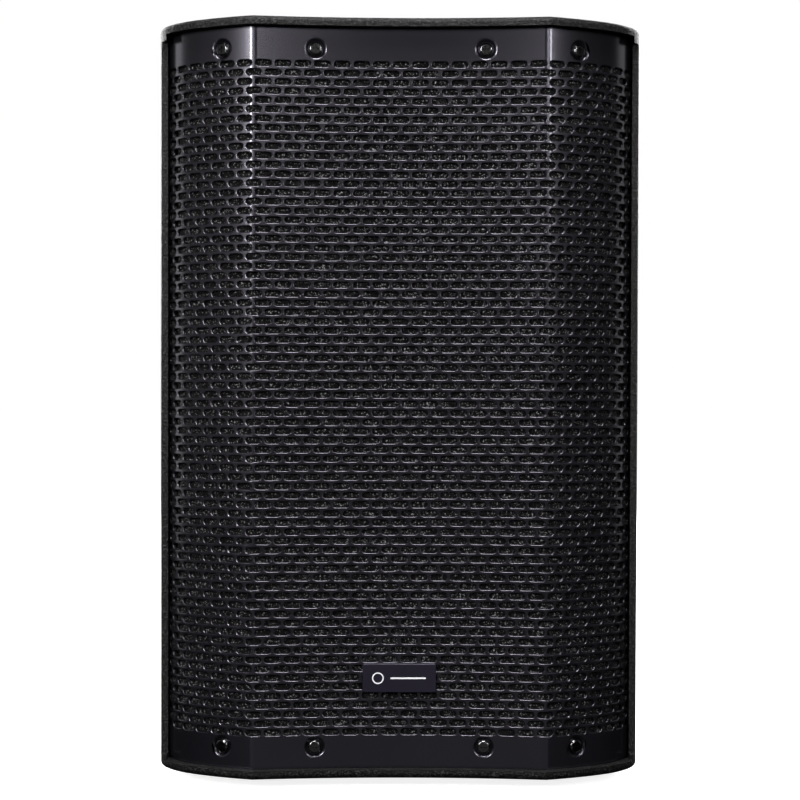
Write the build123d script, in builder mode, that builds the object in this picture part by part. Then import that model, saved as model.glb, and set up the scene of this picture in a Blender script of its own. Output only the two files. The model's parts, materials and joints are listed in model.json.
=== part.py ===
from build123d import *
from math import atan, cos, degrees, pi, radians, sin, tan
import os

# A 12-inch two-way powered loudspeaker in a plywood cabinet, as an assembly of separate pieces.
# Millimetres. +X is to the right of someone who looks at the grille, +Y runs to the back, +Z is up.
# The origin is on the floor, under the middle of the cabinet's box.

os.makedirs("parts", exist_ok=True)

# ---------------------------------------------------------------- driving dimensions
total_height = 608
front_y = -175.2            # line through the two folds, before they are rounded
rear_y = 175
rear_half_width = 125
foot_height = 8
board = 12                  # plywood
baffle_board = 15
edge_round = 4

fold_x = 116.4              # where the hollow centre of the front meets the wings
front_hollow = 9            # depth of the hollow at the centre
wing_angle = 18.6           # degrees, at the fold
wing_radius, wing_sweep = 212, 14
shoulder_radius, shoulder_sweep = 83, 25
corner_radius = 42.3
fold_round = 6

lip_height = 7              # of the top and bottom panels, in front of the grille's edges
lip_reach = 8               # from those panels' front edge back to the grille
grille_sheet = 1.5
grille_half_width = 187.8
gap = 0.3                   # between the grille and the boards round it
seat_rim, seat_floor, seat_depth = 8.7, 6.0, 3.0
seat_x = (67, 141.5)
seat_reach = 276            # of the screw seats above and below the middle of the front
foam_thickness, foam_half_width = 5, 183.5
badge_width, badge_height, badge_z = 58.4, 22.8, 87

baffle_y = -113
back_y = 150                # outer face of the recessed back panel
plate_y = 152               # outer face of the amplifier's plate

woofer_z = 208
flange_y = -118             # front face of the woofer's flange
flange_radius, bolt_radius = 156, 151.6
horn_z = 478
horn_flange = (236, 166)
throat_radius, throat_y = 12.7, -3
port_x, port_z, port_radius, port_end = 138, 78, 25, -53
pole_y, pole_bore, pole_top = -10, 18.0, 103

handle_y, handle_z = 25, 375
pocket_width, pocket_height, pocket_depth = 119, 79, 42.5
pocket_wall = 2.5
grip_radius, grip_rise, grip_depth = 8, 12, 10

amp_z = 300
amp_plate = (190, 300)
amp_cutout = (170, 280)
amp_case_y = 82
knob_z, button_z, led_z, socket_z, mains_z = 400, 372, 430, 345, 190
knob_x = (-60, -20, 20, 60)
button_x = (-25, 25)
input_x, link_x, inlet_x, rocker_x = (-55, 0), 55, -50, 50
rocker_tilt = 8             # degrees, at rest in the off position

# ---------------------------------------------------------------- levels worked out from them
floor_z = foot_height + board
ceiling_z = total_height - board
rebate_low = foot_height + lip_height
rebate_high = total_height - lip_height
middle_z = (foot_height + total_height) / 2
batten_height, batten_rib = 24, 18                   # the rib in front of each batten meets the grille
side_start = (193.64, -94.31)                        # end of the front corner's round
side_slope = (side_start[0] - rear_half_width) / (rear_y - side_start[1])
side_angle = degrees(atan(side_slope))
inner_height = ceiling_z - floor_z


# ---------------------------------------------------------------- shared profiles
def facing(y):
    """Plane across the cabinet at depth y: a sketch reads x and z, and extrudes to the front."""
    return Plane.XZ.offset(-y)


def around(z):
    """Plane for the profile of a round piece: its first axis runs to the back, its second is a radius."""
    return Plane(origin=(0, 0, z), x_dir=(0, 1, 0), z_dir=(1, 0, 0))


def axis_at(z):
    return Axis((0, 0, z), (0, 1, 0))


def side_x(y, depth=0):
    """Half width of the tapered cabinet at y, measured at a depth inside its side."""
    return side_start[0] - (y - side_start[1]) * side_slope - depth / cos(radians(side_angle))


def front_line(inset):
    """Hollow centre and two rounded wings of the front, moved back by the inset."""
    with BuildLine() as line:
        hollow = ThreePointArc((-fold_x, front_y), (0, front_y + front_hollow), (fold_x, front_y))
        start = (cos(radians(wing_angle)), sin(radians(wing_angle)))
        wing = JernArc(hollow @ 1, start, wing_radius, wing_sweep)
        shoulder = JernArc(wing @ 1, wing % 1, shoulder_radius, shoulder_sweep + 20)
        mirror(wing, about=Plane.YZ)
        mirror(shoulder, about=Plane.YZ)
    with BuildLine() as moved:
        add(line.line)
        offset(amount=inset, kind=Kind.INTERSECTION, side=Side.RIGHT, closed=False, mode=Mode.REPLACE)
    return moved.line


def outline_plan():
    """The cabinet seen from above."""
    with BuildSketch() as plan:
        with BuildLine():
            hollow = ThreePointArc((-fold_x, front_y), (0, front_y + front_hollow), (fold_x, front_y))
            start = (cos(radians(wing_angle)), sin(radians(wing_angle)))
            wing = JernArc(hollow @ 1, start, wing_radius, wing_sweep)
            shoulder = JernArc(wing @ 1, wing % 1, shoulder_radius, shoulder_sweep)
            turned = wing_angle + wing_sweep + shoulder_sweep
            corner = JernArc(shoulder @ 1, shoulder % 1, corner_radius, 90 + side_angle - turned)
            side = Line(corner @ 1, (rear_half_width, rear_y))
            mirror(wing, about=Plane.YZ)
            mirror(shoulder, about=Plane.YZ)
            mirror(corner, about=Plane.YZ)
            mirror(side, about=Plane.YZ)
            Line(side @ 1, (-rear_half_width, rear_y))
        make_face()
        fillet(plan.vertices().group_by(Axis.Y)[0], fold_round)
        fillet(plan.vertices().group_by(Axis.Y)[-1], fold_round)
    return plan.sketch


def front_space(inset, reach):
    """Everything in front of the inset front line, out to a half width."""
    line = front_line(inset)
    ends = line.vertices().sort_by(Axis.X)
    with BuildSketch() as plan:
        with BuildLine():
            add(line)
            Polyline((ends[0].X, ends[0].Y), (ends[0].X, -260), (ends[-1].X, -260),
                     (ends[-1].X, ends[-1].Y))
        make_face()
        Rectangle(2 * reach, 800, mode=Mode.INTERSECT)
    return plan.sketch


def inner_plan(y_front, y_back):
    """The space between the side panels, between two depths."""
    corners = ((-side_x(y_front, board), y_front), (side_x(y_front, board), y_front),
               (side_x(y_back, board), y_back), (-side_x(y_back, board), y_back))
    with BuildSketch() as plan:
        Polygon(*corners, align=None)
    return plan.sketch


def seat_planes():
    """One plane for each grille screw, on the grille's front face, with its normal to the outside."""
    line = front_line(lip_reach)
    planes = []
    for x in (-seat_x[1], -seat_x[0], seat_x[0], seat_x[1]):
        point, direction = crossing(line, x)
        planes += [Plane(origin=(point.X, point.Y, middle_z + level),
                         x_dir=(direction.X, direction.Y, 0),
                         z_dir=(direction.Y, -direction.X, 0))
                   for level in (-seat_reach, seat_reach)]
    return planes


def crossing(line, x):
    """Point and left-to-right direction of the front line at x."""
    for edge in line.edges():
        box = edge.bounding_box()
        if box.min.X <= x <= box.max.X:
            low, high = 0.0, 1.0
            rising = (edge @ 1).X > (edge @ 0).X
            for _ in range(40):
                middle = (low + high) / 2
                if ((edge @ middle).X < x) == rising:
                    low = middle
                else:
                    high = middle
            direction = edge % low
            return edge @ low, direction if rising else -direction
    raise ValueError(f"the front line doesn't reach x = {x}")


def side_plane(hand):
    """Plane on the outside of a side panel at the handle: z runs outward and y up."""
    turn = radians(side_angle)
    along = (-sin(turn), cos(turn) * hand, 0)
    out = (cos(turn) * hand, sin(turn), 0)
    return Plane(origin=(side_x(handle_y) * hand, handle_y, handle_z), x_dir=along, z_dir=out)


def panel_screw_planes():
    """Heads of the small screws in the horn, feet, pole socket, handles and amplifier plate."""
    front = Plane(origin=(0, 0, 0), x_dir=(1, 0, 0), z_dir=(0, -1, 0))
    back = Plane(origin=(0, 0, 0), x_dir=(-1, 0, 0), z_dir=(0, 1, 0))
    down = Plane(origin=(0, 0, 0), x_dir=(1, 0, 0), z_dir=(0, 0, -1))
    horn = [at(front, (x, baffle_y - 4, horn_z + z))
            for x in (-109, 0, 109) for z in (-74, 0, 74) if x or z]
    feet = [at(down, (x, y, 5.5)) for x, y in foot_places()]
    pole = [at(down, (x, pole_y + y, 6)) for x in (-32, 32) for y in (-32, 32)]
    plate = [at(back, (x, plate_y, amp_z + z)) for x in (-90, 90) for z in (-144, -48, 48, 144)]
    handles = []
    for hand in (-1, 1):
        plane = side_plane(hand)
        for x in (-67, 67):
            for y in (-47, 47):
                place = plane.from_local_coords((x, y, 3))
                handles.append(Plane(origin=place, x_dir=plane.x_dir, z_dir=plane.z_dir))
    return horn + feet + pole + plate + handles


def dome_profile(tip, radius, spread, thickness, facing_sign):
    """Half section of a thin dome with its tip on the axis, bulging to the back (1) or the front (-1)."""
    centre = (tip - facing_sign * radius, 0)
    start = 0 if facing_sign > 0 else 180 - spread
    with BuildSketch() as profile:
        with BuildLine():
            outer = CenterArc(centre, radius + thickness / 2, start, spread)
            inner = CenterArc(centre, radius - thickness / 2, start, spread)
            Line(outer @ 0, inner @ 0)
            Line(outer @ 1, inner @ 1)
        make_face()
    return profile.sketch


def at(plane, place):
    return Plane(origin=place, x_dir=plane.x_dir, z_dir=plane.z_dir)


def foot_places():
    return ((-115, -100), (115, -100), (-95, 145), (95, 145))


def woofer_bolt_places():
    return [at(facing(0), (place.position.X, flange_y, place.position.Y + woofer_z))
            for place in PolarLocations(bolt_radius, 8, start_angle=22.5).local_locations]


def pan_screw(head_radius, head_height, shank_radius, length):
    """Cross-recessed pan-head screw: its head stands on z = 0 and its shank hangs below."""
    with BuildPart() as screw:
        Cylinder(shank_radius, length, align=(Align.CENTER, Align.CENTER, Align.MAX))
        chamfer(screw.edges().group_by(Axis.Z)[0], shank_radius * 0.35)
        Cylinder(head_radius, head_height, align=(Align.CENTER, Align.CENTER, Align.MIN))
        fillet(screw.edges().group_by(Axis.Z)[-1], head_height * 0.6)
        with Locations((0, 0, head_height)):
            for turn in (0, 90):
                Box(head_radius, head_radius * 0.24, head_height * 0.6, rotation=(0, 0, turn),
                    align=(Align.CENTER, Align.CENTER, Align.MAX), mode=Mode.SUBTRACT)
    return screw.part


def save(piece, name):
    piece.part.label = name
    export_step(piece.part, f"parts/{name}.step")


screw_places = panel_screw_planes()
panel_shank = 2.0
panel_screw_length = 12
grille_shank = 2.5
seats = seat_planes()

# ---------------------------------------------------------------- plywood cabinet
with BuildPart() as top_panel:
    with BuildSketch(Plane.XY.offset(ceiling_z)):
        add(outline_plan())
    extrude(amount=board)
    fillet(top_panel.faces().sort_by(Axis.Z)[-1].edges(), edge_round)
    with BuildSketch(Plane.XY.offset(ceiling_z)):
        add(front_space(lip_reach + grille_sheet + 0.1, grille_half_width + gap))
    extrude(amount=board - lip_height, mode=Mode.SUBTRACT)
save(top_panel, "top_panel")

with BuildPart() as bottom_panel:
    with BuildSketch(Plane.XY.offset(foot_height)):
        add(outline_plan())
    extrude(amount=board)
    fillet(bottom_panel.faces().sort_by(Axis.Z)[0].edges(), edge_round)
    with BuildSketch(Plane.XY.offset(rebate_low)):
        add(front_space(lip_reach + grille_sheet + 0.1, grille_half_width + gap))
    extrude(amount=board - lip_height, mode=Mode.SUBTRACT)
    with BuildSketch(Plane.XY.offset(foot_height)):
        with Locations((0, pole_y)):
            Circle(pole_bore + 3.2)
    extrude(amount=board, mode=Mode.SUBTRACT)
    with Locations(*screw_places):
        Cylinder(panel_shank + 0.1, 2 * panel_screw_length + 1, mode=Mode.SUBTRACT)
save(bottom_panel, "bottom_panel")

for hand, side_name in ((-1, "left_side_panel"), (1, "right_side_panel")):
    with BuildPart() as side_panel:
        with BuildSketch(Plane.XY.offset(floor_z)):
            add(outline_plan())
            add(inner_plan(-300, 300), mode=Mode.SUBTRACT)
            add(front_space(lip_reach + grille_sheet + 0.1, grille_half_width + gap),
                mode=Mode.SUBTRACT)
            with Locations((hand * 200, -117)):
                Rectangle(400, 400, align=(Align.CENTER, Align.MIN), mode=Mode.INTERSECT)
        extrude(amount=inner_height)
        with BuildSketch(side_plane(hand)):
            RectangleRounded(pocket_width + 2 * pocket_wall + 1, pocket_height + 2 * pocket_wall + 1, 9)
        extrude(amount=30, both=True, mode=Mode.SUBTRACT)
        with Locations(*screw_places):
            Cylinder(panel_shank + 0.1, 2 * panel_screw_length + 1, mode=Mode.SUBTRACT)
    save(side_panel, side_name)

with BuildPart() as back_panel:
    with BuildSketch(Plane.XY.offset(floor_z)):
        add(inner_plan(back_y - board, back_y))
    extrude(amount=inner_height)
    with BuildSketch(facing(back_y)):
        with Locations((0, amp_z)):
            Rectangle(*amp_cutout)
    extrude(amount=board, mode=Mode.SUBTRACT)
    with Locations(*screw_places):
        Cylinder(panel_shank + 0.1, 2 * panel_screw_length + 1, mode=Mode.SUBTRACT)
save(back_panel, "back_panel")

with BuildPart() as front_baffle:
    with BuildSketch(Plane.XY.offset(floor_z)):
        add(inner_plan(baffle_y, baffle_y + baffle_board))
    extrude(amount=inner_height)
    with BuildSketch(facing(baffle_y + baffle_board)):
        with Locations((0, woofer_z)):
            Circle(141)
        with Locations((0, horn_z)):
            RectangleRounded(207, 137, 16)
        with Locations((-port_x, port_z), (port_x, port_z)):
            Circle(port_radius + 2.7)
    extrude(amount=baffle_board, mode=Mode.SUBTRACT)
    with BuildSketch(Plane.XY.offset(floor_z)):
        add(front_space(lip_reach + grille_sheet + 0.1, grille_half_width + gap))
    extrude(amount=inner_height, mode=Mode.SUBTRACT)
    with Locations(*screw_places):
        Cylinder(panel_shank + 0.1, 2 * panel_screw_length + 8, mode=Mode.SUBTRACT)
    with Locations(*woofer_bolt_places()):
        Cylinder(2.6, 60, mode=Mode.SUBTRACT)
save(front_baffle, "front_baffle")

rebate = lip_reach + grille_sheet
foam_back = rebate + foam_thickness
with BuildPart() as grille_battens:
    for height, inset in ((batten_height, foam_back + gap), (batten_rib, rebate)):
        for level in (floor_z, ceiling_z - height):
            with BuildSketch(Plane.XY.offset(level)):
                add(inner_plan(-230, baffle_y))
                add(front_space(inset, 300), mode=Mode.SUBTRACT)
                Rectangle(2 * foam_half_width, 800, mode=Mode.INTERSECT)
            extrude(amount=height)
    with Locations(*seats):
        Cylinder(seat_rim + 1.6, 2 * (seat_depth + 3), mode=Mode.SUBTRACT)
        Cylinder(5.5, 2 * 19, mode=Mode.SUBTRACT)
save(grille_battens, "grille_battens")

with BuildPart() as cross_brace:
    with BuildSketch(Plane.XY.offset(106)):
        add(inner_plan(50, 70))
    extrude(amount=board)
save(cross_brace, "cross_brace")

# ---------------------------------------------------------------- grille
with BuildPart() as front_grille:
    with BuildSketch(Plane.XY.offset(rebate_low + gap)):
        trace(front_line(lip_reach + grille_sheet / 2), line_width=grille_sheet)
        Rectangle(2 * grille_half_width, 800, mode=Mode.INTERSECT)
    extrude(amount=rebate_high - rebate_low - 2 * gap)
    for seat in seats:
        with Locations(seat):
            Cone(seat_floor + 1.4, seat_rim + 1.0, seat_depth + grille_sheet,
                 align=(Align.CENTER, Align.CENTER, Align.MAX))
            Cone(seat_floor, seat_rim, seat_depth, align=(Align.CENTER, Align.CENTER, Align.MAX),
                 mode=Mode.SUBTRACT)
            Cylinder(seat_rim + 2, 3, align=(Align.CENTER, Align.CENTER, Align.MIN), mode=Mode.SUBTRACT)
            Cylinder(grille_shank + 0.3, 16, mode=Mode.SUBTRACT)
    with BuildSketch(facing(0)):
        with Locations((-22, badge_z), (22, badge_z)):
            Circle(1.8)
    extrude(amount=200, mode=Mode.SUBTRACT)
save(front_grille, "front_grille")

with BuildPart() as grille_foam:
    with BuildSketch(Plane.XY.offset(floor_z + batten_rib + gap)):
        trace(front_line(rebate + foam_thickness / 2), line_width=foam_thickness)
        with Locations((0, baffle_y - gap)):
            Rectangle(2 * foam_half_width, 400, align=(Align.CENTER, Align.MAX), mode=Mode.INTERSECT)
    extrude(amount=inner_height - 2 * batten_rib - 2 * gap)
    with Locations(*seats):
        Cylinder(seat_rim + 1.9, 2 * (seat_depth + 3), mode=Mode.SUBTRACT)
    with BuildSketch(facing(0)):
        with Locations((-22, badge_z), (22, badge_z)):
            Circle(2)
    extrude(amount=200, mode=Mode.SUBTRACT)
save(grille_foam, "grille_foam")

grille_screw = pan_screw(5.5, 3.2, grille_shank, 16)
with BuildPart() as grille_screws:
    with Locations(*[seat.offset(-seat_depth) for seat in seats]):
        add(grille_screw)
save(grille_screws, "grille_screws")

with BuildPart() as grille_inserts:
    with Locations(*[seat.offset(-seat_depth - 4) for seat in seats]):
        Cylinder(5.5, 12, align=(Align.CENTER, Align.CENTER, Align.MAX))
        Cylinder(grille_shank + 0.05, 60, mode=Mode.SUBTRACT)
save(grille_inserts, "grille_inserts")

badge_back = front_y + front_hollow + lip_reach - 0.7
with BuildPart() as badge:
    with BuildSketch(facing(badge_back)):
        with Locations((0, badge_z)):
            RectangleRounded(badge_width, badge_height, 1.6)
    extrude(amount=2)
    fillet(badge.faces().sort_by(Axis.Y)[0].edges(), 0.6)
    with BuildSketch(facing(badge_back + 5)):
        with Locations((-22, badge_z), (22, badge_z)):
            Circle(1.5)
    extrude(amount=5)
save(badge, "badge")

# ---------------------------------------------------------------- woofer
with BuildPart() as woofer_basket:
    with BuildSketch(around(woofer_z)):
        Polygon((flange_y, 134), (flange_y, flange_radius), (baffle_y, flange_radius),
                (baffle_y, 140.5), (-100, 140.5), (-29, 84), (-25, 84), (-25, 36), (-29, 36),
                (-29, 79), (-40, 87.8), (-40, 74), (-43, 74), (-43, 90.2), (-100, 136),
                (baffle_y, 136), align=None)
    revolve(axis=axis_at(woofer_z))
    with BuildSketch(facing(-50)):
        with Locations((0, woofer_z)):
            Circle(128)
            Circle(98, mode=Mode.SUBTRACT)
            for turn in (0, 60, 120):
                Rectangle(300, 26, rotation=turn, mode=Mode.SUBTRACT)
    extrude(amount=48, mode=Mode.SUBTRACT)
    with Locations(*woofer_bolt_places()):
        Cylinder(2.8, 20, mode=Mode.SUBTRACT)
save(woofer_basket, "woofer_basket")

with BuildPart() as woofer_surround:
    with BuildSketch(around(woofer_z)):
        with BuildLine() as roll:
            arc = ThreePointArc((-117.6, 124.3), (-125, 131), (-118.4, 137.8))
            Line(arc @ 1, (-118.4, 146.6))
        trace(line_width=0.8)
    revolve(axis=axis_at(woofer_z))
save(woofer_surround, "woofer_surround")

with BuildPart() as woofer_gasket:
    with BuildSketch(facing(-118.8)):
        with Locations((0, woofer_z)):
            Circle(146.6)
            Circle(139, mode=Mode.SUBTRACT)
    extrude(amount=3)
save(woofer_gasket, "woofer_gasket")

with BuildPart() as woofer_cone:
    with BuildSketch(around(woofer_z)):
        with BuildLine():
            ThreePointArc((-61, 32.8), (-94, 79), (-117.2, 123.5))
        trace(line_width=0.9)
    revolve(axis=axis_at(woofer_z))
save(woofer_cone, "woofer_cone")

with BuildPart() as woofer_dust_cap:
    with BuildSketch(around(woofer_z)):
        add(dome_profile(-84, 68.6, 36.7, 0.8, -1))
    revolve(axis=axis_at(woofer_z))
save(woofer_dust_cap, "woofer_dust_cap")

with BuildPart() as voice_coil:
    with BuildSketch(around(woofer_z)):
        Polygon((-62, 31.9), (-62, 32.4), (-31, 32.4), (-31, 33.6), (-11, 33.6), (-11, 32.4),
                (-9, 32.4), (-9, 31.9), align=None)
    revolve(axis=axis_at(woofer_z))
save(voice_coil, "voice_coil")

spider_y, spider_wave, spider_swing = -43.4, 8, 2
with BuildPart() as woofer_spider:
    with BuildSketch(around(woofer_z)):
        with BuildLine():
            Line((spider_y, 32.6), (spider_y, 36))
            for wave in range(5):
                inner = 36 + wave * spider_wave
                swing = -spider_swing if wave % 2 == 0 else spider_swing
                ThreePointArc((spider_y, inner), (spider_y + swing, inner + spider_wave / 2),
                              (spider_y, inner + spider_wave))
            Line((spider_y, 76), (spider_y, 84))
        trace(line_width=0.7)
    revolve(axis=axis_at(woofer_z))
save(woofer_spider, "woofer_spider")

with BuildPart() as woofer_top_plate:
    with BuildSketch(facing(-17)):
        with Locations((0, woofer_z)):
            Circle(68)
            Circle(34.4, mode=Mode.SUBTRACT)
    extrude(amount=8)
save(woofer_top_plate, "woofer_top_plate")

with BuildPart() as woofer_magnet:
    with BuildSketch(facing(3)):
        with Locations((0, woofer_z)):
            Circle(72)
            Circle(44, mode=Mode.SUBTRACT)
    extrude(amount=20)
    fillet(woofer_magnet.edges().filter_by(GeomType.CIRCLE).sort_by(SortBy.RADIUS)[-2:], 1.5)
save(woofer_magnet, "woofer_magnet")

with BuildPart() as woofer_yoke:
    with BuildSketch(around(woofer_z)):
        Polygon((-25, 9), (-25, 31.2), (3, 31.2), (3, 68), (11, 68), (11, 9), align=None)
    revolve(axis=axis_at(woofer_z))
save(woofer_yoke, "woofer_yoke")

woofer_screw = pan_screw(4.3, 3, 2.5, 16)
with BuildPart() as woofer_screws:
    with Locations(*woofer_bolt_places()):
        add(woofer_screw)
save(woofer_screws, "woofer_screws")

# ---------------------------------------------------------------- horn and its compression driver
with BuildPart() as horn_flare:
    with BuildSketch(facing(baffle_y)):
        with Locations((0, horn_z)):
            RectangleRounded(*horn_flange, 12)
    extrude(amount=4)
    fillet(horn_flare.faces().sort_by(Axis.Y)[0].edges(), 1.5)
    for y, size, corner in ((baffle_y, (204, 134), 16), (-70, (112, 76), 18), (throat_y, (36, 36), 17.9)):
        with BuildSketch(facing(y)):
            with Locations((0, horn_z)):
                RectangleRounded(*size, corner)
    loft()
    with BuildSketch(facing(throat_y)):
        with Locations((0, horn_z)):
            Circle(32)
    extrude(amount=5)
    for y, size, corner in ((baffle_y - 4, (200, 130), 14), (-70, (106, 70), 15),
                            (throat_y, (2 * throat_radius, 2 * throat_radius), throat_radius - 0.05)):
        with BuildSketch(facing(y)):
            with Locations((0, horn_z)):
                RectangleRounded(*size, corner)
    loft(mode=Mode.SUBTRACT)
    with Locations(*screw_places):
        Cylinder(panel_shank + 0.2, 20, mode=Mode.SUBTRACT)
save(horn_flare, "horn_flare")

with BuildPart() as driver_yoke:
    with BuildSketch(around(horn_z)):
        Polygon((throat_y, throat_radius), (throat_y, 43), (4, 43), (4, 24.2), (22, 24.2), (22, 20),
                align=None)
    revolve(axis=axis_at(horn_z))
save(driver_yoke, "driver_yoke")

with BuildPart() as driver_magnet:
    with BuildSketch(facing(18)):
        with Locations((0, horn_z)):
            Circle(43)
            Circle(32, mode=Mode.SUBTRACT)
    extrude(amount=14)
save(driver_magnet, "driver_magnet")

with BuildPart() as driver_top_plate:
    with BuildSketch(facing(22)):
        with Locations((0, horn_z)):
            Circle(41)
            Circle(26.2, mode=Mode.SUBTRACT)
    extrude(amount=4)
save(driver_top_plate, "driver_top_plate")

with BuildPart() as hf_diaphragm:
    with BuildSketch(around(horn_z)):
        add(dome_profile(33.5, 37.8, 41.6, 0.35, 1))
        with Locations((10, 24.9)):
            Rectangle(14.2, 0.35, align=(Align.MIN, Align.MIN))
    revolve(axis=axis_at(horn_z))
save(hf_diaphragm, "hf_diaphragm")

with BuildPart() as driver_rear_cap:
    with BuildSketch(around(horn_z)):
        Polygon((22, 38), (22, 43), (42, 43), (45, 40), (45, 0), (41.5, 0), (41.5, 38), align=None)
    revolve(axis=axis_at(horn_z))
save(driver_rear_cap, "driver_rear_cap")

with BuildPart() as terminal_blocks:
    with Locations((-77, -19, woofer_z)):
        Box(8, 12, 16)
    with Locations((0, 48, horn_z)):
        Box(14, 6, 12)
save(terminal_blocks, "terminal_blocks")

# ---------------------------------------------------------------- ports, pole socket, feet, wadding
with BuildPart() as port_tubes:
    for x in (-port_x, port_x):
        with BuildSketch(facing(baffle_y)):
            with Locations((x, port_z)):
                Circle(port_radius + 8)
        extrude(amount=2)
        with BuildSketch(facing(port_end)):
            with Locations((x, port_z)):
                Circle(port_radius + 2.5)
        extrude(amount=port_end - baffle_y)
        with BuildSketch(facing(0)):
            with Locations((x, port_z)):
                Circle(port_radius)
        extrude(amount=120, mode=Mode.SUBTRACT)
save(port_tubes, "port_tubes")

with BuildPart() as pole_socket:
    with BuildSketch(Plane.XY.offset(6)):
        with Locations((0, pole_y)):
            RectangleRounded(92, 92, 14)
            Circle(pole_bore + 3.05, mode=Mode.SUBTRACT)
    extrude(amount=2)
    with BuildSketch(Plane.XY.offset(6)):
        with Locations((0, pole_y)):
            Circle(pole_bore + 3)
    extrude(amount=pole_top + 3 - 6)
    with BuildSketch(Plane.XY.offset(6)):
        with Locations((0, pole_y)):
            Circle(pole_bore)
    extrude(amount=pole_top - 6, mode=Mode.SUBTRACT)
    with Locations(*screw_places):
        Cylinder(panel_shank + 0.2, 20, mode=Mode.SUBTRACT)
save(pole_socket, "pole_socket")

with BuildPart() as rubber_feet:
    with Locations(*foot_places()):
        Cone(17.5, 19, foot_height, align=(Align.CENTER, Align.CENTER, Align.MIN))
        Cylinder(5.6, 5.5, align=(Align.CENTER, Align.CENTER, Align.MIN), mode=Mode.SUBTRACT)
        Cylinder(panel_shank + 0.2, 40, mode=Mode.SUBTRACT)
save(rubber_feet, "rubber_feet")

with BuildPart() as damping_wadding:
    with Locations((0, 0, ceiling_z)):
        Box(180, 120, 25, align=(Align.CENTER, Align.CENTER, Align.MAX))
    fillet(damping_wadding.edges().filter_by(Axis.Z), 10)
save(damping_wadding, "damping_wadding")

# ---------------------------------------------------------------- recessed side handles
with BuildPart() as handle_dishes:
    for hand in (-1, 1):
        plane = side_plane(hand)
        with BuildSketch(plane):
            RectangleRounded(150, 110, 14)
        extrude(amount=3)
        with BuildSketch(plane):
            RectangleRounded(pocket_width + 2 * pocket_wall, pocket_height + 2 * pocket_wall, 8)
        extrude(amount=-pocket_depth - pocket_wall)
        with BuildSketch(plane.offset(3)):
            RectangleRounded(pocket_width, pocket_height, 6)
        extrude(amount=-pocket_depth - 3, mode=Mode.SUBTRACT)
    with Locations(*screw_places):
        Cylinder(panel_shank + 0.2, 12, mode=Mode.SUBTRACT)
save(handle_dishes, "handle_dishes")

with BuildPart() as handle_grips:
    for hand in (-1, 1):
        plane = side_plane(hand)
        end = plane.from_local_coords((-pocket_width / 2, grip_rise, -grip_depth))
        with BuildSketch(Plane(origin=end, x_dir=plane.y_dir, z_dir=plane.x_dir)):
            Circle(grip_radius)
        extrude(amount=pocket_width)
save(handle_grips, "handle_grips")

# ---------------------------------------------------------------- amplifier
with BuildPart() as amp_panel:
    with BuildSketch(facing(plate_y)):
        with Locations((0, amp_z)):
            RectangleRounded(*amp_plate, 5)
        with Locations(*[(x, knob_z) for x in knob_x]):
            Circle(3.6, mode=Mode.SUBTRACT)
        with Locations(*[(x, button_z) for x in button_x]):
            Circle(4.4, mode=Mode.SUBTRACT)
        with Locations(*[(x, led_z) for x in knob_x]):
            Circle(2.1, mode=Mode.SUBTRACT)
        with Locations(*[(x, socket_z) for x in (*input_x, link_x)]):
            Circle(11.7, mode=Mode.SUBTRACT)
        with Locations((inlet_x, mains_z)):
            Rectangle(28.6, 31.6, mode=Mode.SUBTRACT)
        with Locations((rocker_x, mains_z)):
            Rectangle(20.8, 29.4, mode=Mode.SUBTRACT)
    extrude(amount=plate_y - back_y)
    with Locations(*screw_places):
        Cylinder(panel_shank + 0.2, 12, mode=Mode.SUBTRACT)
save(amp_panel, "amp_panel")

case_sheet = 1.5
with BuildPart() as amp_enclosure:
    with BuildSketch(facing(back_y)):
        with Locations((0, amp_z)):
            Rectangle(amp_cutout[0] - 2, amp_cutout[1] - 2)
    extrude(amount=back_y - amp_case_y)
    with BuildSketch(facing(back_y)):
        with Locations((0, amp_z)):
            Rectangle(amp_cutout[0] - 2 - 2 * case_sheet, amp_cutout[1] - 2 - 2 * case_sheet)
    extrude(amount=back_y - amp_case_y - case_sheet, mode=Mode.SUBTRACT)
    with BuildSketch(facing(amp_case_y + 5)):
        with Locations((-40, 230)):
            Circle(2.6)
    extrude(amount=10, mode=Mode.SUBTRACT)
    with BuildSketch(Plane.XY.offset(430)):
        with Locations((12, 104)):
            Circle(2.6)
    extrude(amount=20, mode=Mode.SUBTRACT)
save(amp_enclosure, "amp_enclosure")

fin_pitch, fin_height = 14, 14
with BuildPart() as heat_sink:
    with BuildSketch(facing(plate_y + 4)):
        with Locations((0, 262.5)):
            Rectangle(170, 95)
    extrude(amount=4)
    with BuildSketch(facing(plate_y + 4 + fin_height)):
        with Locations((0, 262.5)):
            with GridLocations(fin_pitch, 1, 12, 1):
                Rectangle(2.6, 95)
    extrude(amount=fin_height)
save(heat_sink, "heat_sink")

with BuildPart() as circuit_boards:
    with BuildSketch(facing(101.6)):
        with Locations((0, amp_z)):
            Rectangle(150, 230)
    extrude(amount=1.6)
    with BuildSketch(facing(101.6 - 1.6)):
        with Locations((0, amp_z)):
            with GridLocations(130, 210, 2, 2):
                Circle(3)
    extrude(amount=101.6 - 1.6 - amp_case_y - case_sheet)
    with BuildSketch(facing(140)):
        with Locations((0, 398)):
            Rectangle(150, 72)
    extrude(amount=1.6)
save(circuit_boards, "circuit_boards")

with BuildPart() as power_components:
    with BuildSketch(facing(127)):
        with Locations((-45, 250), (-45, 278)):
            Circle(11)
        with Locations((40, 255)):
            Rectangle(42, 36)
        with Locations((0, 220)):
            Circle(15)
            Circle(7, mode=Mode.SUBTRACT)
    extrude(amount=127 - 101.6)
save(power_components, "power_components")

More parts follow.
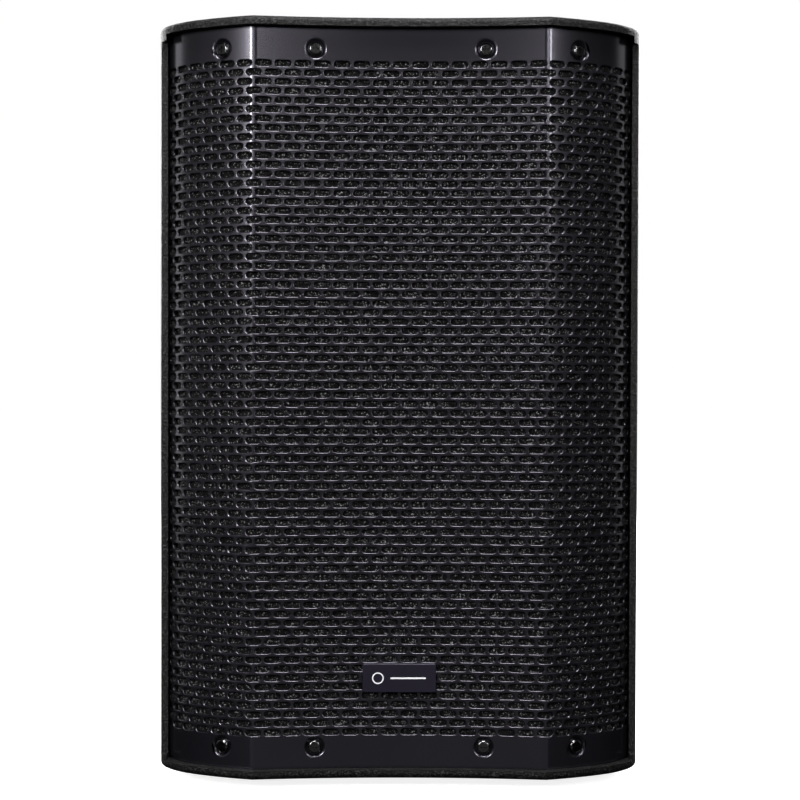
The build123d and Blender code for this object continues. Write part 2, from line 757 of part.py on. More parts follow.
with BuildPart() as control_components:
    with BuildSketch(facing(back_y)):
        with Locations(*[(x, knob_z) for x in knob_x]):
            Rectangle(16, 16)
            Circle(3.06, mode=Mode.SUBTRACT)
    extrude(amount=10)
    with BuildSketch(facing(143.8)):
        with Locations(*[(x, button_z) for x in button_x]):
            Rectangle(7, 7)
    extrude(amount=3.8)
save(control_components, "control_components")

with BuildPart() as indicator_leds:
    with BuildSketch(facing(plate_y + 0.4)):
        with Locations(*[(x, led_z) for x in knob_x]):
            Circle(2)
    extrude(amount=9)
    with Locations(*[(x, plate_y + 0.4, led_z) for x in knob_x]):
        Sphere(2)
save(indicator_leds, "indicator_leds")

for index, x in enumerate(knob_x, start=1):
    with BuildPart() as knob:
        with BuildSketch(facing(plate_y + 14)):
            with Locations((x, knob_z)):
                Circle(9)
        extrude(amount=13.6)
        chamfer(knob.faces().sort_by(Axis.Y)[-1].edges(), 1.2)
        with BuildSketch(facing(plate_y + 14)):
            with Locations((x, knob_z)):
                with PolarLocations(9.2, 12):
                    Rectangle(1.3, 1.3, rotation=45)
        extrude(amount=12.6, mode=Mode.SUBTRACT)
        with BuildSketch(facing(plate_y + 14)):
            with Locations((x, knob_z + 5)):
                Rectangle(1.2, 7)
        extrude(amount=0.8, mode=Mode.SUBTRACT)
        with BuildSketch(facing(plate_y + 0.4)):
            with Locations((x, knob_z)):
                Circle(3)
        extrude(amount=10)
    save(knob, f"level_knob_{index}")

for index, x in enumerate(button_x, start=1):
    with BuildPart() as button:
        with BuildSketch(facing(plate_y + 4)):
            with Locations((x, button_z)):
                Circle(4)
        extrude(amount=plate_y + 4 - 146.2)
        fillet(button.faces().sort_by(Axis.Y)[-1].edges(), 0.8)
    save(button, f"select_button_{index}")

# ---------------------------------------------------------------- sockets on the amplifier's plate
with BuildPart() as input_sockets:
    for x in input_x:
        with BuildSketch(facing(plate_y + 2)):
            with Locations((x, socket_z)):
                RectangleRounded(26, 31, 2)
        extrude(amount=2)
        with BuildSketch(facing(plate_y)):
            with Locations((x, socket_z)):
                Circle(11.5)
        extrude(amount=24)
        with BuildSketch(facing(plate_y + 2)):
            with Locations((x, socket_z)):
                Circle(10)
                Circle(9, mode=Mode.SUBTRACT)
                Circle(3.3)
                with PolarLocations(6.3, 3, start_angle=30):
                    Circle(1.3)
        extrude(amount=20, mode=Mode.SUBTRACT)
save(input_sockets, "input_sockets")

with BuildPart() as link_socket:
    with BuildSketch(facing(plate_y + 2)):
        with Locations((link_x, socket_z)):
            RectangleRounded(26, 31, 2)
    extrude(amount=2)
    with BuildSketch(facing(plate_y)):
        with Locations((link_x, socket_z)):
            Circle(11.5)
    extrude(amount=22)
    with BuildSketch(facing(plate_y + 2)):
        with Locations((link_x, socket_z)):
            Circle(9.6)
    extrude(amount=18, mode=Mode.SUBTRACT)
save(link_socket, "link_socket")

with BuildPart() as mains_inlet:
    with BuildSketch(facing(plate_y + 2)):
        with Locations((inlet_x, mains_z)):
            RectangleRounded(48, 35, 3)
    extrude(amount=2)
    with BuildSketch(facing(plate_y)):
        with Locations((inlet_x, mains_z)):
            Rectangle(28, 31)
    extrude(amount=24)
    with BuildSketch(facing(plate_y + 2)) as cavity:
        with Locations((inlet_x, mains_z + 5)):
            Rectangle(24, 16)
        chamfer(cavity.vertices().group_by(Axis.Y)[-1], 4)
    extrude(amount=17, mode=Mode.SUBTRACT)
    with BuildSketch(facing(plate_y + 2)):
        with Locations((inlet_x, mains_z - 9.5)):
            Rectangle(22, 7)
    extrude(amount=22, mode=Mode.SUBTRACT)
save(mains_inlet, "mains_inlet")

with BuildPart() as contact_pins:
    with BuildSketch(facing(plate_y - 3)):
        with Locations((inlet_x, mains_z + 8), (inlet_x - 7, mains_z + 3), (inlet_x + 7, mains_z + 3)):
            Rectangle(2, 4)
    extrude(amount=12)
    with BuildSketch(facing(plate_y - 3)):
        with Locations((link_x, socket_z)):
            with PolarLocations(5, 3, start_angle=90):
                Circle(1.2)
    extrude(amount=13)
save(contact_pins, "contact_pins")

with BuildPart() as fuse_drawer:
    with BuildSketch(facing(plate_y + 2.3)):
        with Locations((inlet_x, mains_z - 9.5)):
            Rectangle(21.4, 6.4)
    extrude(amount=21.3)
    with BuildSketch(facing(plate_y - 2)):
        with Locations((inlet_x, mains_z - 9.5)):
            Rectangle(19, 8)
    extrude(amount=8, mode=Mode.SUBTRACT)
    with BuildSketch(facing(plate_y + 3.6)):
        with Locations((inlet_x, mains_z - 9.5)):
            RectangleRounded(24, 8, 1)
    extrude(amount=1.3)
save(fuse_drawer, "fuse_drawer")

with BuildPart() as fuse:
    with BuildSketch(Plane.YZ.offset(inlet_x - 9)):
        with Locations((plate_y - 6, mains_z - 9.5)):
            Circle(2.5)
    extrude(amount=18)
save(fuse, "fuse")

with BuildPart() as switch_housing:
    with BuildSketch(facing(plate_y + 2)):
        with Locations((rocker_x, mains_z)):
            RectangleRounded(26, 35, 2)
    extrude(amount=2)
    with BuildSketch(facing(plate_y)):
        with Locations((rocker_x, mains_z)):
            Rectangle(20.4, 29)
    extrude(amount=20)
    with BuildSketch(facing(plate_y + 2)):
        with Locations((rocker_x, mains_z)):
            Rectangle(16.4, 25)
    extrude(amount=20, mode=Mode.SUBTRACT)
    with BuildSketch(Plane.YZ.offset(rocker_x - 9.6)):
        with Locations((plate_y - 2, mains_z)):
            Circle(1.56)
    extrude(amount=19.2, mode=Mode.SUBTRACT)
save(switch_housing, "switch_housing")

rocker_plane = Plane(origin=(rocker_x, plate_y - 2, mains_z),
                     x_dir=(0, cos(radians(rocker_tilt)), sin(radians(rocker_tilt))), z_dir=(1, 0, 0))
with BuildPart() as switch_rocker:
    with BuildSketch(rocker_plane.offset(-7.8)):
        Polygon((-3, -11), (5.5, -11), (3.4, 0), (5.5, 11), (-3, 11), (-7, 3), (-7, -3), align=None)
    extrude(amount=15.6)
    with BuildSketch(rocker_plane.offset(-9.4)):
        Circle(1.5)
    extrude(amount=18.8)
save(switch_rocker, "switch_rocker")

# ---------------------------------------------------------------- screws that hold the small pieces
panel_screw = pan_screw(4, 2.5, panel_shank, panel_screw_length)
with BuildPart() as panel_screws:
    with Locations(*screw_places):
        add(panel_screw)
save(panel_screws, "panel_screws")


# ---------------------------------------------------------------- leads from the amplifier
def lead(points, radius):
    """A lead on straight runs joined by arcs as large as each pair of runs allows."""
    runs = [Vector(*b) - Vector(*a) for a, b in zip(points, points[1:])]
    radii = [0.45 * min(a.length, b.length) / tan(radians(a.get_angle(b)) / 2)
             for a, b in zip(runs, runs[1:])]
    print("lead radii", [round(r, 1) for r in radii])
    with BuildPart() as tube:
        with BuildLine() as path:
            FilletPolyline(*points, radius=radii)
        with BuildSketch(Plane(origin=points[0], z_dir=runs[0])):
            Circle(radius)
        sweep(path=path.line)
    length = sum(edge.length for edge in path.edges())
    print("lead length", round(length, 1), "volume", round(tube.part.volume, 1),
          "section x length", round(pi * radius ** 2 * length, 1))
    return tube.part


woofer_route = ((-40, 83, 230), (-40, 60, 230), (-56, 36, 216), (-77, 14, woofer_z),
                (-77, -13, woofer_z))
horn_route = ((12, 104, 438), (12, 104, 466), (6, 86, 486), (0, 68, horn_z), (0, 51, horn_z))
with BuildPart() as speaker_leads:
    add(lead(woofer_route, 2.5))
    add(lead(horn_route, 2.5))
save(speaker_leads, "speaker_leads")
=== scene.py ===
import json
import math

import bmesh
import bpy
from mathutils import Euler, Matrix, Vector, noise


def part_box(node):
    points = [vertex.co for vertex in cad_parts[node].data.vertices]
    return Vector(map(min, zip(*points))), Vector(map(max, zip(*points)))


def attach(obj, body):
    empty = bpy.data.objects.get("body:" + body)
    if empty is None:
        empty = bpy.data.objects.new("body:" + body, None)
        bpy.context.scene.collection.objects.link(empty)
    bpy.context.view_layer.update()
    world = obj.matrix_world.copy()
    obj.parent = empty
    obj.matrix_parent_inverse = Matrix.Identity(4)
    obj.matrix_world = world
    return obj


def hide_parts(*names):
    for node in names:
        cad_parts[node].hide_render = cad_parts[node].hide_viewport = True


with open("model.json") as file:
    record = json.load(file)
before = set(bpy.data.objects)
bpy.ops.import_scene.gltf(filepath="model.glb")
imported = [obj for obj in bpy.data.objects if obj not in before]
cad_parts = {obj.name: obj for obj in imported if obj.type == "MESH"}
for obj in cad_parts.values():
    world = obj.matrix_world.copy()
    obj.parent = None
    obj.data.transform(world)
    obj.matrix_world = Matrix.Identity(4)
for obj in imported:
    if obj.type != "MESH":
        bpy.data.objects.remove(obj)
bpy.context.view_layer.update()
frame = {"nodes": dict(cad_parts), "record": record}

MM = 0.001

# ---------------------------------------------------------------- the front's plan, as in the CAD
FOLD_X, FOLD_Y = 116.4 * MM, -175.2 * MM
HOLLOW_DEPTH = 9 * MM
WING_ANGLE = math.radians(18.6)
WING_RADIUS, WING_SWEEP = 212 * MM, math.radians(14)
SHOULDER_RADIUS = 83 * MM
LIP_REACH = 8 * MM
FOLD_ROUND = 3.2 * MM            # half the width of sheet that bends at a fold
SHEET = 1.5 * MM                 # thickness of the grille's steel
BAFFLE_Y = -113 * MM
BISECTIONS = 50

grille_low, grille_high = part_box("front_grille")
middle_z = (grille_low[2] + grille_high[2]) / 2


def on_arc(centre, radius, angle):
    """Point on an arc, and the direction along it, for an angle from the front."""
    direction = Vector((math.cos(angle), math.sin(angle)))
    return centre + Vector((direction.y, -direction.x)) * radius, direction


class FrontSheet:
    """Maps a flat sheet (u across, depth inwards, z up) onto the folded front."""

    def __init__(self):
        hollow = (FOLD_X ** 2 + HOLLOW_DEPTH ** 2) / (2 * HOLLOW_DEPTH)
        self.hollow_radius = -(hollow + LIP_REACH)
        self.hollow_centre = Vector((0, FOLD_Y + HOLLOW_DEPTH - hollow))
        wing_out = Vector((math.sin(WING_ANGLE), -math.cos(WING_ANGLE)))
        self.wing_radius = WING_RADIUS - LIP_REACH
        self.wing_centre = Vector((FOLD_X, FOLD_Y)) - wing_out * WING_RADIUS
        turned = WING_ANGLE + WING_SWEEP
        shoulder_out = Vector((math.sin(turned), -math.cos(turned)))
        self.shoulder_radius = SHOULDER_RADIUS - LIP_REACH
        self.shoulder_centre = self.wing_centre + shoulder_out * (WING_RADIUS - SHOULDER_RADIUS)
        self.shoulder_start = turned
        between = self.wing_centre - self.hollow_centre
        along = between.length_squared + self.hollow_radius ** 2 - self.wing_radius ** 2
        along /= 2 * between.length
        reach = math.sqrt(self.hollow_radius ** 2 - along ** 2)
        unit = between.normalized()
        self.fold = self.hollow_centre + unit * along + Vector((unit.y, -unit.x)) * reach
        self.fold_u = math.asin(self.fold.x / -self.hollow_radius) * -self.hollow_radius
        self.wing_start = math.asin((self.fold.x - self.wing_centre.x) / self.wing_radius)
        self.shoulder_u = self.fold_u + self.wing_radius * (self.shoulder_start - self.wing_start)

    def across(self, x):
        """Distance along the sheet from its middle to a given x, short of where it faces sideways."""
        low = 0.0
        high = self.shoulder_u + self.shoulder_radius * (math.pi / 2 - self.shoulder_start)
        for _ in range(BISECTIONS):
            middle = (low + high) / 2
            if self.line(middle)[0].x < x:
                low = middle
            else:
                high = middle
        return low

    def _hollow(self, u):
        """Point and direction on the hollow between the folds."""
        return on_arc(self.hollow_centre, self.hollow_radius, u / self.hollow_radius)

    def _wing(self, u):
        """Point and direction on the wing, or on the shoulder that ends it."""
        if u < self.shoulder_u:
            return on_arc(self.wing_centre, self.wing_radius,
                          self.wing_start + (u - self.fold_u) / self.wing_radius)
        return on_arc(self.shoulder_centre, self.shoulder_radius,
                      self.shoulder_start + (u - self.shoulder_u) / self.shoulder_radius)

    def line(self, u):
        """Point and direction of the front face at u."""
        side = 1 if u >= 0 else -1
        u = abs(u)
        if u < self.fold_u - FOLD_ROUND:
            point, tangent = self._hollow(u)
        elif u > self.fold_u + FOLD_ROUND:
            point, tangent = self._wing(u)
        else:
            first = self._hollow(self.fold_u - FOLD_ROUND)[0]
            last = self._wing(self.fold_u + FOLD_ROUND)[0]
            t = (u - self.fold_u + FOLD_ROUND) / (2 * FOLD_ROUND)
            point = first * (1 - t) ** 2 + self.fold * 2 * t * (1 - t) + last * t ** 2
            tangent = ((self.fold - first) * (1 - t) + (last - self.fold) * t).normalized()
        return Vector((point.x * side, point.y)), Vector((tangent.x, tangent.y * side))

    def place(self, u, depth, z):
        """Point at u across the sheet, a depth inwards, at height z."""
        point, tangent = self.line(u)
        return Vector((point.x - tangent.y * depth, point.y + tangent.x * depth, z))

    def turn(self, u, vector):
        """A direction given as (across, inwards, up), turned onto the sheet."""
        tangent = self.line(u)[1]
        inward = Vector((-tangent.y, tangent.x))
        flat = tangent * vector[0] + inward * vector[1]
        return Vector((flat.x, flat.y, vector[2]))


front = FrontSheet()


# ---------------------------------------------------------------- materials
def nodes_of(name):
    """A new material, its node tree and its shader."""
    material = bpy.data.materials.new(name)
    material.use_nodes = True
    tree = material.node_tree
    shader = tree.nodes["Principled BSDF"]
    return material, tree, shader


def add_node(tree, kind, **inputs):
    """A node with the named inputs set."""
    node = tree.nodes.new(kind)
    for key, value in inputs.items():
        node.inputs[key.replace("_", " ")].default_value = value
    return node


def texture_noise(tree, scale, detail=4.0, roughness=0.55):
    """Noise in the object's own metres."""
    place = tree.nodes.get("Texture Coordinate") or tree.nodes.new("ShaderNodeTexCoord")
    node = add_node(tree, "ShaderNodeTexNoise", Scale=scale, Detail=detail, Roughness=roughness)
    tree.links.new(place.outputs["Object"], node.inputs["Vector"])
    return node


def ramp(tree, source, low, high, dark, light):
    """Runs from a dark colour to a light one as the source goes from low to high."""
    node = tree.nodes.new("ShaderNodeValToRGB")
    node.color_ramp.elements[0].position = low
    node.color_ramp.elements[1].position = high
    node.color_ramp.elements[0].color = (*dark, 1)
    node.color_ramp.elements[1].color = (*light, 1)
    tree.links.new(source, node.inputs["Fac"])
    return node


def spread(tree, source, low, high):
    """Maps a source's 0 to 1 onto low to high."""
    node = add_node(tree, "ShaderNodeMapRange")
    node.inputs["To Min"].default_value = low
    node.inputs["To Max"].default_value = high
    tree.links.new(source, node.inputs["Value"])
    return node


def finish_material(name, dark, light, rough, metallic=0.0, grain=400.0, blotch=9.0, bump=0.1,
                    bump_depth=0.0002, specular=0.5, coat=0.0, tint=(1, 1, 1)):
    """A painted, moulded or metal surface: two noises vary its colour and gloss, the finer one its bump."""
    material, tree, shader = nodes_of(name)
    fine = texture_noise(tree, grain)
    broad = texture_noise(tree, blotch, 3.0)
    colour = ramp(tree, broad.outputs["Fac"], 0.35, 0.65, dark, light)
    tree.links.new(colour.outputs["Color"], shader.inputs["Base Color"])
    gloss = spread(tree, fine.outputs["Fac"], rough[0], rough[1])
    tree.links.new(gloss.outputs["Result"], shader.inputs["Roughness"])
    relief = add_node(tree, "ShaderNodeBump", Strength=bump, Distance=bump_depth)
    tree.links.new(fine.outputs["Fac"], relief.inputs["Height"])
    tree.links.new(relief.outputs["Normal"], shader.inputs["Normal"])
    shader.inputs["Metallic"].default_value = metallic
    shader.inputs["Specular IOR Level"].default_value = specular
    shader.inputs["Specular Tint"].default_value = (*tint, 1)
    shader.inputs["Coat Weight"].default_value = coat
    return material


def textured_paint():
    """Sprayed polyurea: a coarse speckle of small hard beads over black."""
    material, tree, shader = nodes_of("textured_paint")
    beads = texture_noise(tree, 650.0, 2.0, 0.6)
    clumps = texture_noise(tree, 280.0, 2.0)
    colour = ramp(tree, beads.outputs["Fac"], 0.50, 0.66, (0.001, 0.001, 0.001), (0.026, 0.025, 0.025))
    tree.links.new(colour.outputs["Color"], shader.inputs["Base Color"])
    gloss = spread(tree, beads.outputs["Fac"], 0.62, 0.36)
    tree.links.new(gloss.outputs["Result"], shader.inputs["Roughness"])
    shader.inputs["Specular IOR Level"].default_value = 0.15
    coarse = add_node(tree, "ShaderNodeBump", Strength=0.7, Distance=0.0010)
    tree.links.new(clumps.outputs["Fac"], coarse.inputs["Height"])
    small = add_node(tree, "ShaderNodeBump", Strength=1.0, Distance=0.0009)
    tree.links.new(beads.outputs["Fac"], small.inputs["Height"])
    tree.links.new(coarse.outputs["Normal"], small.inputs["Normal"])
    tree.links.new(small.outputs["Normal"], shader.inputs["Normal"])
    return material


def open_cell_foam():
    """Black open-celled foam, with light flecks painted into its colour as highlights where the struts of
    its cells would catch the light.
    """
    material, tree, shader = nodes_of("open_cell_foam")
    place = tree.nodes.new("ShaderNodeTexCoord")
    cells = add_node(tree, "ShaderNodeTexVoronoi", Scale=900.0)
    tree.links.new(place.outputs["Object"], cells.inputs["Vector"])
    painted_glint_noise = texture_noise(tree, 900.0, 1.0, 0.5)
    # the light flecks are painted highlights: glints of the struts, put into the base colour
    colour = ramp(tree, painted_glint_noise.outputs["Fac"], 0.62, 0.70, (0.0015, 0.0015, 0.0015), (0.3, 0.3, 0.31))
    tree.links.new(colour.outputs["Color"], shader.inputs["Base Color"])
    gloss = spread(tree, cells.outputs["Distance"], 0.3, 0.7)
    tree.links.new(gloss.outputs["Result"], shader.inputs["Roughness"])
    shader.inputs["Specular IOR Level"].default_value = 0.15
    relief = add_node(tree, "ShaderNodeBump", Strength=1.0, Distance=0.0012)
    tree.links.new(cells.outputs["Distance"], relief.inputs["Height"])
    tree.links.new(relief.outputs["Normal"], shader.inputs["Normal"])
    return material


def plywood():
    """Birch ply, with bands of grain along each board."""
    material, tree, shader = nodes_of("plywood")
    place = tree.nodes.new("ShaderNodeTexCoord")
    stretch = tree.nodes.new("ShaderNodeMapping")
    stretch.inputs["Scale"].default_value = (60, 60, 5)
    tree.links.new(place.outputs["Object"], stretch.inputs["Vector"])
    grain = add_node(tree, "ShaderNodeTexNoise", Scale=4.0, Detail=6.0)
    tree.links.new(stretch.outputs["Vector"], grain.inputs["Vector"])
    colour = ramp(tree, grain.outputs["Fac"], 0.35, 0.7, (0.38, 0.26, 0.15), (0.62, 0.47, 0.3))
    tree.links.new(colour.outputs["Color"], shader.inputs["Base Color"])
    gloss = spread(tree, grain.outputs["Fac"], 0.55, 0.75)
    tree.links.new(gloss.outputs["Result"], shader.inputs["Roughness"])
    relief = add_node(tree, "ShaderNodeBump", Strength=0.25, Distance=0.0003)
    tree.links.new(grain.outputs["Fac"], relief.inputs["Height"])
    tree.links.new(relief.outputs["Normal"], shader.inputs["Normal"])
    return material


def black(level):
    """A near-black grey, very slightly blue."""
    return (level, level, level * 1.03)


finishes = {
    "textured_paint": textured_paint(),
    "plywood": plywood(),
    "foam": open_cell_foam(),
    "grille_coat": finish_material("grille_coat", (0.0034, 0.0031, 0.0042), (0.0046, 0.0043, 0.0056),
                                   (0.20, 0.27), grain=1500.0, bump=0.04, bump_depth=0.0001,
                                   specular=0.85, tint=(0.9, 0.86, 1.0)),
    "black_zinc": finish_material("black_zinc", black(0.09), black(0.14), (0.14, 0.22), metallic=1.0,
                                  grain=900.0),
    "bright_steel": finish_material("bright_steel", (0.5, 0.5, 0.51), (0.62, 0.62, 0.63), (0.25, 0.4),
                                    metallic=1.0, grain=700.0),
    "gloss_black": finish_material("gloss_black", (0.0055, 0.0045, 0.009), (0.0075, 0.0065, 0.0115),
                                   (0.3, 0.4), grain=600.0, bump=0.04, specular=0.4,
                                   tint=(0.86, 0.8, 1.0)),
    "cast_aluminium": finish_material("cast_aluminium", black(0.03), black(0.045), (0.45, 0.6),
                                      metallic=0.5, grain=500.0, bump=0.3),
    "rubber": finish_material("rubber", black(0.012), black(0.018), (0.6, 0.8), grain=500.0, bump=0.2),
    "paper_cone": finish_material("paper_cone", black(0.015), black(0.028), (0.6, 0.85), grain=350.0,
                                  bump=0.5, bump_depth=0.0004),
    "copper_winding": finish_material("copper_winding", (0.55, 0.26, 0.13), (0.7, 0.36, 0.2),
                                      (0.25, 0.4), metallic=1.0, grain=900.0),
    "ferrite": finish_material("ferrite", black(0.04), black(0.06), (0.5, 0.7), grain=600.0, bump=0.3),
    "moulded_black": finish_material("moulded_black", black(0.012), black(0.017), (0.42, 0.58),
                                     grain=1400.0, bump=0.35, bump_depth=0.00015),
    "titanium_foil": finish_material("titanium_foil", (0.45, 0.45, 0.47), (0.55, 0.55, 0.57),
                                     (0.2, 0.35), metallic=1.0),
    "coated_steel": finish_material("coated_steel", black(0.011), black(0.015), (0.4, 0.55),
                                    grain=1600.0, bump=0.35, bump_depth=0.00015),
    "zinc_steel": finish_material("zinc_steel", (0.45, 0.46, 0.47), (0.6, 0.61, 0.62), (0.3, 0.5),
                                  metallic=1.0, grain=300.0, blotch=60.0),
    "black_aluminium": finish_material("black_aluminium", black(0.014), black(0.02), (0.32, 0.46),
                                       metallic=0.7, grain=1100.0, bump=0.15),
    "circuit_board": finish_material("circuit_board", (0.01, 0.07, 0.03), (0.02, 0.11, 0.05),
                                     (0.25, 0.4), grain=300.0, blotch=80.0),
    "knob_plastic": finish_material("knob_plastic", black(0.011), black(0.016), (0.5, 0.66),
                                    grain=1300.0, bump=0.25),
    "button_plastic": finish_material("button_plastic", (0.2, 0.2, 0.21), (0.26, 0.26, 0.27),
                                      (0.35, 0.5), grain=900.0),
    "led_lens": finish_material("led_lens", (0.25, 0.4, 0.25), (0.32, 0.5, 0.32), (0.1, 0.2),
                                grain=500.0, coat=0.5),
    "lead_sheath": finish_material("lead_sheath", black(0.02), black(0.03), (0.45, 0.6), grain=400.0),
}
mark_white = finish_material("mark_white", (0.62, 0.62, 0.64), (0.7, 0.7, 0.72), (0.3, 0.45),
                             grain=600.0)


def paint_frame():
    """Gives each CAD node the finish of its slot in the record."""
    for part in frame["record"]["subparts"]:
        materials = frame["nodes"][part["node"]].data.materials
        materials.clear()
        materials.append(finishes[part["material_slot"]])


# ---------------------------------------------------------------- mesh helpers
def new_object(name, mesh, material, body="cabinet"):
    """A piece in the scene, with its material, riding on its body."""
    obj = bpy.data.objects.new(name, mesh)
    bpy.context.scene.collection.objects.link(obj)
    mesh.materials.append(material)
    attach(obj, body)
    return obj


def light_object(name, work, body="cabinet"):
    """A light-coloured piece from a bmesh, which is used up."""
    bmesh.ops.recalc_face_normals(work, faces=work.faces[:])
    mesh = bpy.data.meshes.new(name)
    work.to_mesh(mesh)
    work.free()
    obj = new_object(name, mesh, mark_white, body)
    return obj


TOUCH = 1e-6                     # metres within which two lines are the same


class SheetMesh:
    """Collects flat points (u, depth, z) with their own normals, and folds them onto the front."""

    def __init__(self):
        self.points, self.normals, self.faces = [], [], []

    def point(self, u, depth, z, normal):
        """Adds a point with its flat normal, and gives its number."""
        self.points.append((u, depth, z))
        self.normals.append(normal)
        return len(self.points) - 1

    def flat(self, index):
        """A point's place on the flat sheet."""
        u, _, z = self.points[index]
        return u, z

    def apart(self, a, b):
        """Square of the distance between two points on the flat sheet."""
        (au, az), (bu, bz) = self.flat(a), self.flat(b)
        return (au - bu) ** 2 + (az - bz) ** 2

    def ring_bridge(self, outer, inner, centre, flip=False):
        """Triangles between two closed rows of points round a centre, taken by their angle from it."""
        def angle(index):
            u, z = self.flat(index)
            return math.atan2(z - centre[1], u - centre[0]) % (2 * math.pi)
        outer = sorted(outer, key=angle)
        inner = sorted(inner, key=angle)
        steps = sorted([(angle(k), 0, i) for i, k in enumerate(outer)]
                       + [(angle(k), 1, j) for j, k in enumerate(inner)])
        i, j = len(outer) - 1, len(inner) - 1
        for _, kind, index in steps:
            if kind == 0:
                face = (outer[i], outer[index], inner[j])
                i = index
            else:
                face = (outer[i], inner[index], inner[j])
                j = index
            self.faces.append(face[::-1] if flip else face)

    def bridge(self, outer, inner, flip=False, closed=True):
        """Triangles between two rows of points that run the same way, by the shorter diagonal."""
        if closed:
            start = min(range(len(inner)), key=lambda k: self.apart(outer[0], inner[k]))
            inner = inner[start:] + inner[:start] + [inner[start]]
            outer = outer + [outer[0]]
        i = j = 0
        while i < len(outer) - 1 or j < len(inner) - 1:
            step_outer = j == len(inner) - 1 or (
                i < len(outer) - 1
                and self.apart(outer[i + 1], inner[j]) <= self.apart(outer[i], inner[j + 1]))
            if step_outer:
                face = (outer[i], outer[i + 1], inner[j])
                i += 1
            else:
                face = (outer[i], inner[j + 1], inner[j])
                j += 1
            self.faces.append(face[::-1] if flip else face)

    def band(self, first, second, closed=True):
        """Quads between two equal rows of points."""
        count = len(first)
        for k in range(count if closed else count - 1):
            n = (k + 1) % count
            self.faces.append((first[k], first[n], second[n], second[k]))

    def build(self, name, cuts):
        """The folded mesh, first cut along lines of constant u so that a fold has points to bend at."""
        mesh = bpy.data.meshes.new(name)
        mesh.from_pydata(self.points, [], self.faces)
        work = bmesh.new()
        work.from_mesh(mesh)
        layer = work.verts.layers.float_vector.new("flat_normal")
        for vertex, normal in zip(work.verts, self.normals):
            vertex[layer] = normal
        for cut in cuts:
            bmesh.ops.bisect_plane(work, geom=work.verts[:] + work.edges[:] + work.faces[:],
                                   plane_co=(cut, 0, 0), plane_no=(1, 0, 0), dist=TOUCH)
        turned = []
        for vertex in work.verts:
            u, depth, z = vertex.co
            turned.append(front.turn(u, vertex[layer]).normalized())
            vertex.co = front.place(u, depth, z)
        work.verts.layers.float_vector.remove(layer)
        work.to_mesh(mesh)
        work.free()
        mesh.shade_smooth()
        mesh.normals_split_custom_set_from_vertices(turned)
        return mesh


# ---------------------------------------------------------------- grille
SLOT_PITCH = 15.5 * MM
ROW_PITCH = 7.235 * MM
ROWS = 74
SLOT_LENGTH, SLOT_HEIGHT = 12.8 * MM, 4.5 * MM
SLOT_RIM, RIM_DEPTH = 0.9 * MM, 0.75 * MM
END_STEPS = 5
FIELD_MARGIN = 3.05 * MM         # from the outermost slots' centres to the plain margins
SEAT_X = (67 * MM, 141.5 * MM)
SEAT_REACH = 276 * MM            # height of the seats above and below the middle
SEAT_RINGS = ((9.2, 0.0, 0.0), (7.9, 0.7, 0.5), (6.9, 2.0, 0.8), (6.3, 2.8, 0.55), (5.9, 3.0, 0.1),
              (2.8, 3.0, 0.0))   # radius and depth in mm, and how far the normal leans outwards
SEAT_BACK_RINGS = ((2.8, 4.5, 0.0), (7.2, 4.5, 0.4), (9.2, 1.5, 0.0))
SEAT_STEPS = 32
SEAT_CELL = 10.5 * MM            # least reach of the cell round a seat
SEAT_STATION, SEAT_STATIONS = 1.6, range(-3, 4)   # closer points beside a seat, every so many mm
OUTWARD, INWARD = (0, -1, 0), (0, 1, 0)


